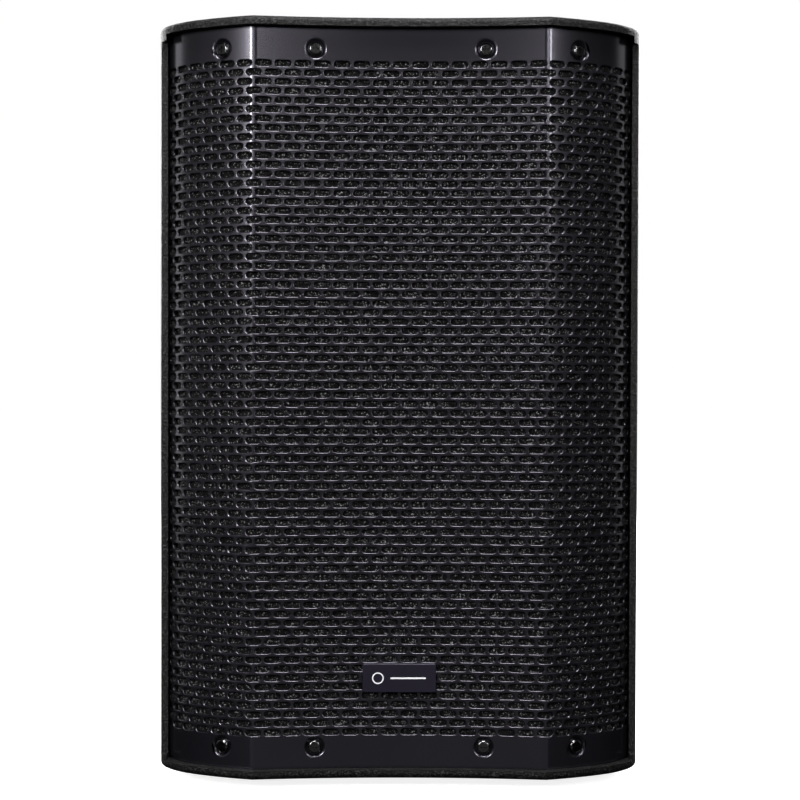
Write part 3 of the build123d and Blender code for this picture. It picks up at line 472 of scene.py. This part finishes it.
class Grille(SheetMesh):
    """The punched sheet: cells of obround slots, plain margins and dished screw seats."""

    def __init__(self):
        super().__init__()
        self.half = SLOT_PITCH / 2
        self.end_u = front.across(grille_high[0])
        self.last = int(self.end_u / self.half)
        self.shared = {}
        self.back_of = {}
        self.seats = [side * front.across(x) for x in SEAT_X for side in (-1, 1)]

    def level_z(self, level):
        """Height of the line under row `level`; -1 and ROWS + 1 are the sheet's own edges."""
        if level < 0:
            return grille_low[2]
        if level > ROWS:
            return grille_high[2]
        if level in (0, ROWS):
            side = -1 if level == 0 else 1
            reach = (ROWS - 1) / 2 * ROW_PITCH + FIELD_MARGIN
            return middle_z + side * reach
        return middle_z + (level - ROWS / 2) * ROW_PITCH

    def corner(self, level, u, back):
        """The shared point of the level line at u, on the front or the back."""
        key = (level, round(u / MM, 3), back)
        if key not in self.shared:
            self.shared[key] = self.point(u, SHEET if back else 0.0, self.level_z(level),
                                          INWARD if back else OUTWARD)
            if back:
                self.back_of[self.corner(level, u, False)] = self.shared[key]
        return self.shared[key]

    def stations(self, level, low, high):
        """Where the points of a level line stand between two of them, closer under a screw seat."""
        found = [k * self.half for k in range(-self.last, self.last + 1)] + [-self.end_u, self.end_u]
        if level in (0, ROWS):
            found += [seat + step * SEAT_STATION * MM for seat in self.seats for step in SEAT_STATIONS]
        return sorted(u for u in set(round(f, 7) for f in found) if low - TOUCH <= u <= high + TOUCH)

    def frame_of(self, level_low, level_high, low, high, back):
        """The closed outline of a cell, anticlockwise."""
        under = [self.corner(level_low, u, back) for u in self.stations(level_low, low, high)]
        over = [self.corner(level_high, u, back) for u in self.stations(level_high, low, high)]
        return under + over[::-1]

    def slot_points(self, u, z, grow, depth, normal_in, open_side=0):
        """An obround loop, or one end of it where the sheet's edge cuts the slot."""
        radius = SLOT_HEIGHT / 2 + grow
        straight = (SLOT_LENGTH - SLOT_HEIGHT) / 2
        found = []
        for end in (1, -1):
            if open_side == end:
                continue
            for step in range(END_STEPS + 1):
                angle = math.pi * (step / END_STEPS - 0.5) + (0 if end > 0 else math.pi)
                du, dz = math.cos(angle), math.sin(angle)
                normal = (-du, 0, -dz) if normal_in else OUTWARD
                found.append(self.point(u + end * straight + du * radius, depth, z + dz * radius, normal))
        if open_side:
            edge = open_side * self.end_u
            signs = (1, -1) if open_side > 0 else (-1, 1)
            ends = [self.point(edge, depth, z + sign * radius, (0, 0, -sign) if normal_in else OUTWARD)
                    for sign in signs]
            found = [ends[0]] + found + [ends[1]]
        return found

    def add_slot(self, row, u, low, high, open_side=0):
        """One slot with its rolled rim, in a cell from low to high; open_side is the edge that cuts it."""
        z = middle_z + (row - (ROWS - 1) / 2) * ROW_PITCH
        closed = open_side == 0
        rim = self.slot_points(u, z, SLOT_RIM, 0.0, False, open_side)
        lip = self.slot_points(u, z, 0.0, RIM_DEPTH, True, open_side)
        rear = self.slot_points(u, z, 0.0, SHEET, True, open_side)
        for back, inner in ((False, rim), (True, rear)):
            outer = self.frame_of(row, row + 1, low, high, back)
            if not closed:
                outer = self.opened(outer, row, open_side, back)
            self.bridge(outer, inner, flip=back, closed=closed)
        self.band(rim, lip, closed)
        self.band(lip, rear, closed)
        if not closed:
            for end in (0, -1):
                self.back_of[rim[end]] = rear[end]
                face = (rim[end], lip[end], rear[end])
                self.faces.append(face if end == 0 else face[::-1])

    def opened(self, outer, row, open_side, back):
        """The same outline, started at the sheet's edge, on the side that follows the notch."""
        start = self.corner(row + 1 if open_side > 0 else row, open_side * self.end_u, back)
        k = outer.index(start)
        return outer[k:] + outer[:k]

    def add_row(self, row):
        """One row of slots, staggered against its neighbours, with what the edges leave of it."""
        odd = (ROWS - 1 - row) % 2
        columns = [k for k in range(-self.last + 1, self.last) if k % 2 == odd]
        for k in columns:
            self.add_slot(row, k * self.half, (k - 1) * self.half, (k + 1) * self.half)
        reached = (columns[-1] + 1) * self.half
        for side in (-1, 1):
            low, high = sorted((side * reached, side * self.end_u))
            if columns[-1] + 1 < self.last:
                self.add_slot(row, side * (columns[-1] + 2) * self.half, low, high, side)
            else:
                self.plain(row, row + 1, low, high)

    def plain(self, level_low, level_high, low, high):
        """A cell with no slot, front and back."""
        for back in (False, True):
            outline = self.frame_of(level_low, level_high, low, high, back)
            self.faces.append(tuple(outline[::-1] if back else outline))

    def add_margin(self, level_low, level_high, seat_z):
        """The plain strip beyond the slots, with a dished and drilled seat for each screw."""
        seat_cells = []
        for seat in self.seats:
            low = math.floor((seat - SEAT_CELL) / self.half) * self.half
            high = math.ceil((seat + SEAT_CELL) / self.half) * self.half
            seat_cells.append((low, high))
            self.add_seat(level_low, level_high, low, high, seat, seat_z)
        marks = self.stations(1, -self.end_u, self.end_u)
        for low, high in zip(marks, marks[1:]):
            if not any(cell[0] - TOUCH <= low and high <= cell[1] + TOUCH for cell in seat_cells):
                self.plain(level_low, level_high, low, high)

    def add_seat(self, level_low, level_high, low, high, seat, seat_z):
        """A dish drawn inwards, drilled through, in a plain cell."""
        def ring(radius, depth, lean, sign=1):
            found = []
            for step in range(SEAT_STEPS):
                angle = 2 * math.pi * step / SEAT_STEPS
                du, dz = math.cos(angle), math.sin(angle)
                facing = math.sqrt(1 - lean ** 2)
                found.append(self.point(seat + du * radius, depth, seat_z + dz * radius,
                                        (-du * lean * sign, -facing * sign, -dz * lean * sign)))
            return found
        rings = [ring(radius * MM, depth * MM, lean) for radius, depth, lean in SEAT_RINGS]
        self.ring_bridge(self.frame_of(level_low, level_high, low, high, False), rings[0], (seat, seat_z))
        for first, second in zip(rings, rings[1:]):
            self.band(first, second)
        rear = [ring(radius * MM, depth * MM, lean, -1) for radius, depth, lean in SEAT_BACK_RINGS]
        self.band(rings[-1], rear[0])
        self.band(rear[0], rear[1])
        self.band(rear[1], rear[2])
        self.ring_bridge(self.frame_of(level_low, level_high, low, high, True), rear[2], (seat, seat_z),
                         flip=True)

    def add_edges(self):
        """Walls between the front and back faces round the sheet's edge."""
        seen = {}
        for face in self.faces:
            for a, b in zip(face, face[1:] + face[:1]):
                seen[(a, b)] = seen.get((a, b), 0) + 1
        for a, b in list(seen):
            if (b, a) not in seen and a in self.back_of and b in self.back_of:
                self.faces.append((b, a, self.back_of[a], self.back_of[b]))


def make_grille():
    """The slotted sheet that stands for the CAD's plain one."""
    sheet = Grille()
    for row in range(ROWS):
        sheet.add_row(row)
    sheet.add_margin(ROWS, ROWS + 1, middle_z + SEAT_REACH)
    sheet.add_margin(-1, 0, middle_z - SEAT_REACH)
    sheet.add_edges()
    cuts = [side * (front.fold_u + step * FOLD_ROUND) for side in (-1, 1)
            for step in (-1, -0.5, 0, 0.5, 1)]
    mesh = sheet.build("grille_sheet", cuts)
    obj = new_object("grille_sheet", mesh, finishes["grille_coat"])
    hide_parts("front_grille")


# ---------------------------------------------------------------- foam behind the grille
FOAM_STEP = 2.3 * MM
FOAM_FRONT, FOAM_BACK = SHEET + 0.9 * MM, SHEET + 4.8 * MM
FOAM_GAP, FOAM_EDGE, BAFFLE_GAP = 0.15 * MM, 2 * MM, 0.5 * MM
LUMP_SCALE, PORE_SCALE = 420, 1300
FOAM_ROUGH = 0.5                 # mm that lumps or pores stand out
DISH_REACH, DISH_BACK = 10.4 * MM, 4.8 * MM


def foam_depth(u, z, seats):
    """Depth of the foam's open-celled front: it is pressed in behind each dished screw seat."""
    lumps = noise.noise(Vector((u, z, 0)) * LUMP_SCALE) * FOAM_ROUGH * MM
    pores = noise.noise(Vector((u, z, 0.1)) * PORE_SCALE) * FOAM_ROUGH * MM
    depth = max(FOAM_FRONT + lumps + pores, SHEET + FOAM_GAP)
    for seat_u, seat_z in seats:
        if (u - seat_u) ** 2 + (z - seat_z) ** 2 < DISH_REACH ** 2:
            depth = max(depth, DISH_BACK)
    return depth


def foam_back(u):
    """The foam's back, cut off where the front curves back to the baffle."""
    point, tangent = front.line(u)
    return min(FOAM_BACK, (BAFFLE_Y - BAFFLE_GAP - point.y) / tangent.x)


def make_foam():
    """The closed layer of foam behind the sheet."""
    low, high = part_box("grille_foam")
    reach = front.across(high[0] - FOAM_EDGE)
    seats = [(side * front.across(x), middle_z + up * SEAT_REACH)
             for x in SEAT_X for side in (-1, 1) for up in (-1, 1)]
    columns = int(2 * reach / FOAM_STEP)
    rows = int((high[2] - low[2]) / FOAM_STEP)
    across = [-reach + 2 * reach * i / columns for i in range(columns + 1)]
    points, faces = [], []
    for j in range(rows + 1):
        z = low[2] + (high[2] - low[2]) * j / rows
        points += [front.place(u, foam_depth(u, z, seats), z) for u in across]
    for j in range(rows):
        for i in range(columns):
            k = j * (columns + 1) + i
            faces.append((k, k + 1, k + columns + 2, k + columns + 1))
    base = len(points)
    for z in (low[2], high[2]):
        points += [front.place(u, foam_back(u), z) for u in across]
    top = rows * (columns + 1)
    for i in range(columns):
        faces.append((base + i + 1, base + i, base + columns + 1 + i, base + columns + 2 + i))
        faces.append((i + 1, i, base + i, base + i + 1))
        faces.append((top + i, top + i + 1, base + columns + 2 + i, base + columns + 1 + i))
    left = [j * (columns + 1) for j in range(rows + 1)]
    right = [k + columns for k in left]
    faces.append(tuple([base + columns + 1, base] + left))
    faces.append(tuple([base + columns, base + 2 * columns + 1] + right[::-1]))
    mesh = bpy.data.meshes.new("foam_sheet")
    mesh.from_pydata(points, [], faces)
    mesh.shade_smooth()
    obj = new_object("foam_sheet", mesh, finishes["foam"])
    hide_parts("grille_foam")


# ---------------------------------------------------------------- damping wadding
WADDING_COLUMNS, WADDING_ROWS = 44, 30
PAD_INSET = 1.5 * MM
PAD_WAIST_X, PAD_WAIST_Y = 0.06, 0.08     # share by which the sides pull in at their middles
PAD_EDGE, PAD_CROWN, PAD_CLUMPS = 0.25, 0.68, 0.08     # shares of the thickness


def fibre_wadding():
    """Off-white polyester fibre, in soft clumps."""
    return finish_material("fibre_wadding", (0.42, 0.41, 0.38), (0.58, 0.57, 0.54), (0.85, 0.95),
                           grain=900.0, blotch=35.0, bump=0.8, bump_depth=0.001, specular=0.1)


def wadding_point(s, t, middle, half, thickness):
    """Point of the pad's crowned underside, for s and t from -1 to 1."""
    crown = ((1 - s ** 6) * (1 - t ** 6)) ** 0.5
    clumps = noise.noise(Vector((s * 4, t * 3, 0))) * PAD_CLUMPS
    drop = thickness * min(1, max(0, PAD_EDGE + PAD_CROWN * crown + clumps * crown))
    x = middle.x + half.x * s * (1 - PAD_WAIST_X * (1 - t ** 2))
    y = middle.y + half.y * t * (1 - PAD_WAIST_Y * (1 - s ** 2))
    return Vector((x, y, middle.z + half.z - drop))


def make_wadding():
    """A pad of fibre glued under the ceiling: crowned below, its sides pulled in between the corners."""
    low, high = (Vector(corner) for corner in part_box("damping_wadding"))
    middle, half = (low + high) / 2, (high - low) / 2
    inset = Vector((1, 1, 0)) * PAD_INSET
    wide = WADDING_COLUMNS + 1
    under, above = [], []
    for j in range(WADDING_ROWS + 1):
        for i in range(wide):
            s, t = 2 * i / WADDING_COLUMNS - 1, 2 * j / WADDING_ROWS - 1
            point = wadding_point(s, t, middle, half - inset, half.z * 2)
            under.append(point)
            above.append(Vector((point.x, point.y, high.z)))
    faces = []
    for j in range(WADDING_ROWS):
        for i in range(WADDING_COLUMNS):
            k = j * wide + i
            faces.append((k, k + wide, k + wide + 1, k + 1))
            faces.append(tuple(len(under) + n for n in (k, k + 1, k + wide + 1, k + wide)))
    rim = list(range(wide)) + [j * wide + wide - 1 for j in range(1, WADDING_ROWS + 1)]
    rim += [WADDING_ROWS * wide + i for i in range(wide - 2, -1, -1)]
    rim += [j * wide for j in range(WADDING_ROWS - 1, 0, -1)]
    for a, b in zip(rim, rim[1:] + rim[:1]):
        faces.append((a, b, len(under) + b, len(under) + a))
    mesh = bpy.data.meshes.new("wadding_pad")
    mesh.from_pydata(under + above, [], faces)
    mesh.shade_smooth()
    obj = new_object("wadding_pad", mesh, fibre_wadding())
    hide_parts("damping_wadding")


# ---------------------------------------------------------------- badge's generic mark
MARK_LIFT, MARK_THICKNESS = 0.15 * MM, 0.2 * MM
RING_X, RING_RADII, RING_STEPS = -17 * MM, (4.6 * MM, 3.7 * MM), 40
BAR_LEFT, BAR_RIGHT, BAR_HALF = -7, 21, 0.6     # in mm from the middle of the badge


def make_badge_mark():
    """A thin ring and a slim bar, raised on the plate."""
    low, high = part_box("badge")
    z = (low[2] + high[2]) / 2
    y = low[1] - MARK_LIFT
    work = bmesh.new()
    loops = []
    for radius in RING_RADII:
        loop = []
        for k in range(RING_STEPS):
            angle = 2 * math.pi * k / RING_STEPS
            loop.append(work.verts.new((RING_X + radius * math.cos(angle), y, z + radius * math.sin(angle))))
        loops.append(loop)
    for k in range(RING_STEPS):
        n = (k + 1) % RING_STEPS
        work.faces.new((loops[0][k], loops[0][n], loops[1][n], loops[1][k]))
    bar = [(BAR_LEFT, -BAR_HALF), (BAR_RIGHT, -BAR_HALF), (BAR_RIGHT, BAR_HALF), (BAR_LEFT, BAR_HALF)]
    work.faces.new([work.verts.new((x * MM, y, z + dz * MM)) for x, dz in bar])
    obj = light_object("badge_mark", work)
    thick = obj.modifiers.new("thickness", "SOLIDIFY")
    thick.thickness = MARK_THICKNESS
    thick.offset = 0


# ---------------------------------------------------------------- level knobs' pointers and dials
KNOBS = 4
KNOB_TURN = math.radians(140)
DIAL_TICKS = 11
MAIN_TICK = 5                    # every fifth tick is wider
TICK_HALF, MAIN_TICK_HALF = 0.2, 0.35     # half widths in mm
DIAL_INNER, DIAL_OUTER = 11.2 * MM, 13.2 * MM
PLATE_Y = 152 * MM               # rear face of the amplifier's plate
TICK_LOW, TICK_HIGH = 0.01 * MM, 0.06 * MM
POINTER_WIDTH, POINTER_LENGTH, POINTER_DEPTH = 0.95 * MM, 6.7 * MM, 0.75 * MM
POINTER_MIDDLE = 5 * MM          # from the knob's axis
POINTER_LIFT = 0.05 * MM


def slab(work, corners, low_y, high_y):
    """A closed flat slab from its outline's (x, z) corners, between two depths."""
    rear, face = ([work.verts.new((x, y, z)) for x, z in corners] for y in (low_y, high_y))
    work.faces.new(rear)
    work.faces.new(face[::-1])
    for k in range(len(corners)):
        n = (k + 1) % len(corners)
        work.faces.new((rear[n], rear[k], face[k], face[n]))


def add_ticks(work, x, z):
    """The printed ticks round one knob's axis, from one end of its turn to the other."""
    for step in range(DIAL_TICKS):
        angle = KNOB_TURN * (2 * step / (DIAL_TICKS - 1) - 1)
        out = Vector((math.sin(angle), math.cos(angle)))
        side = Vector((out.y, -out.x)) * (MAIN_TICK_HALF if step % MAIN_TICK == 0 else TICK_HALF) * MM
        ends = (out * DIAL_INNER - side, out * DIAL_INNER + side, out * DIAL_OUTER + side,
                out * DIAL_OUTER - side)
        corners = [(x + end.x, z + end.y) for end in ends]
        slab(work, corners, PLATE_Y + TICK_LOW, PLATE_Y + TICK_HIGH)


def make_dials():
    """Printed ticks round each level knob, and a light bar in each knob's pointer groove."""
    ticks = bmesh.new()
    half = POINTER_WIDTH / 2
    for number in range(1, KNOBS + 1):
        low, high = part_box(f"level_knob_{number}")
        x, z = (low[0] + high[0]) / 2, (low[2] + high[2]) / 2
        add_ticks(ticks, x, z)
        bar = bmesh.new()
        base, tip = z + POINTER_MIDDLE - POINTER_LENGTH / 2, z + POINTER_MIDDLE + POINTER_LENGTH / 2
        shoulders = [(x + half, tip - half), (x, tip), (x - half, tip - half)]
        slab(bar, [(x - half, base), (x + half, base)] + shoulders, high[1] - POINTER_DEPTH,
             high[1] + POINTER_LIFT)
        light_object(f"knob_pointer_{number}", bar, f"knob_{number}")
    light_object("dial_ticks", ticks)


# ---------------------------------------------------------------- stage, lights and camera
FLOOR_REACH = 30.0
# the floor's glow near the object and far from it; the lower glow near it is painted shade
PAINTED_SHADE_GLOW_NEAR, GLOW_FAR = 0.85, 1.05
GLOW_FROM, GLOW_TO = 0.25, 1.0   # metres from the middle
LENS, SENSOR, SHIFT_UP = 89, 36, 0.0543
CAMERA_AT = (-0.0154, FOLD_Y - 1.55, 0.3125)
PITCH_DOWN, TURN_RIGHT, ROLL = 0.025, 0.00986, 0.00277


def make_stage():
    """A plain white floor that glows, with painted shade: its glow is lower close to the object; only the
    camera sees it.
    """
    mesh = bpy.data.meshes.new("floor")
    corners = [(x * FLOOR_REACH, y * FLOOR_REACH, 0) for x, y in ((-1, -1), (1, -1), (1, 1), (-1, 1))]
    mesh.from_pydata(corners, [], [(0, 1, 2, 3)])
    paper = finish_material("floor_paper", (0.82, 0.82, 0.82), (0.84, 0.84, 0.84), (0.8, 0.9),
                            grain=60.0, bump=0.02)
    tree = paper.node_tree
    place = tree.nodes["Texture Coordinate"]
    distance = tree.nodes.new("ShaderNodeVectorMath")
    distance.operation = "LENGTH"
    tree.links.new(place.outputs["Object"], distance.inputs[0])
    # painted shade: the floor glows less close to the object
    glow_with_painted_shade = spread(tree, distance.outputs["Value"], PAINTED_SHADE_GLOW_NEAR, GLOW_FAR)
    glow_with_painted_shade.inputs["From Min"].default_value = GLOW_FROM
    glow_with_painted_shade.inputs["From Max"].default_value = GLOW_TO
    shader = tree.nodes["Principled BSDF"]
    shader.inputs["Emission Color"].default_value = (1, 1, 1, 1)
    tree.links.new(glow_with_painted_shade.outputs["Result"], shader.inputs["Emission Strength"])
    mesh.materials.append(paper)
    floor = bpy.data.objects.new("floor", mesh)
    bpy.context.scene.collection.objects.link(floor)
    floor.visible_glossy = False
    floor.visible_diffuse = False
    floor.visible_shadow = False


def softbox(name, place, target, size, power):
    """A white area light at a place, aimed at a target."""
    light = bpy.data.lights.new(name, "AREA")
    light.shape = "RECTANGLE"
    light.size, light.size_y = size
    light.energy = power
    obj = bpy.data.objects.new(name, light)
    obj.location = place
    obj.rotation_euler = (Vector(target) - Vector(place)).to_track_quat("-Z", "Y").to_euler()
    bpy.context.scene.collection.objects.link(obj)


def make_lights():
    """Lamps in front, above and behind, and a white world that only the camera sees."""
    softbox("left_strip", (-1.38, -2.0, 1.12), (0, -0.1, 0.4), (0.22, 0.8), 52)
    softbox("right_strip", (1.38, -2.0, 1.12), (0, -0.1, 0.4), (0.22, 0.8), 20)
    softbox("near_left", (-0.7, -2.6, 1.15), (0, -0.1, 0.45), (0.25, 0.5), 2)
    softbox("near_right", (0.75, -2.6, 1.15), (0, -0.1, 0.45), (0.25, 0.5), 5)
    softbox("overhead", (-0.1, -0.9, 2.4), (0, -0.1, 0.3), (1.3, 0.6), 112)
    softbox("room", (0.0, -5.0, 2.4), (0, 0, 0.4), (7.0, 2.4), 4)
    softbox("low_fill", (0.0, -4.0, -1.2), (0, 0, 0.3), (6.0, 1.4), 5)
    softbox("left_wall", (-4.0, -0.5, 1.2), (0, 0, 0.4), (4.0, 2.4), 4)
    softbox("right_wall", (4.0, -0.5, 1.2), (0, 0, 0.4), (4.0, 2.4), 1)
    softbox("rear_wall", (0.3, 3.0, 1.7), (0, 0, 0.3), (2.4, 1.6), 130)
    softbox("rear_left", (-1.7, 2.5, 1.3), (0, 0, 0.3), (1.2, 1.6), 75)
    softbox("rear_right", (1.7, 2.5, 1.3), (0, 0, 0.3), (1.2, 1.6), 75)
    softbox("edge_left", (-2.6, 1.3, 0.9), (0, 0, 0.3), (1.6, 1.8), 10)
    softbox("edge_right", (2.6, 1.3, 0.9), (0, 0, 0.3), (1.6, 1.8), 5)
    world = bpy.data.worlds.new("studio")
    world.use_nodes = True
    background = world.node_tree.nodes["Background"]
    background.inputs["Color"].default_value = (1, 1, 1, 1)
    background.inputs["Strength"].default_value = 1.0
    bpy.context.scene.world = world
    world.cycles_visibility.diffuse = False
    world.cycles_visibility.glossy = False
    bpy.context.scene.view_settings.view_transform = "Standard"


def make_camera():
    """The photograph's view: nearly square on, a little above the middle."""
    camera = bpy.data.cameras.new("camera")
    camera.lens = LENS
    camera.sensor_width = SENSOR
    camera.shift_y = SHIFT_UP
    obj = bpy.data.objects.new("camera", camera)
    obj.location = CAMERA_AT
    level = Euler((math.pi / 2 - PITCH_DOWN, 0, 0)).to_matrix()
    facing = Euler((0, 0, -TURN_RIGHT)).to_matrix() @ level
    obj.rotation_euler = (facing @ Euler((0, 0, ROLL)).to_matrix()).to_euler()
    bpy.context.scene.collection.objects.link(obj)
    bpy.context.scene.camera = obj


make_camera()
make_lights()
make_stage()
paint_frame()
make_grille()
make_foam()
make_wadding()
make_badge_mark()
make_dials()
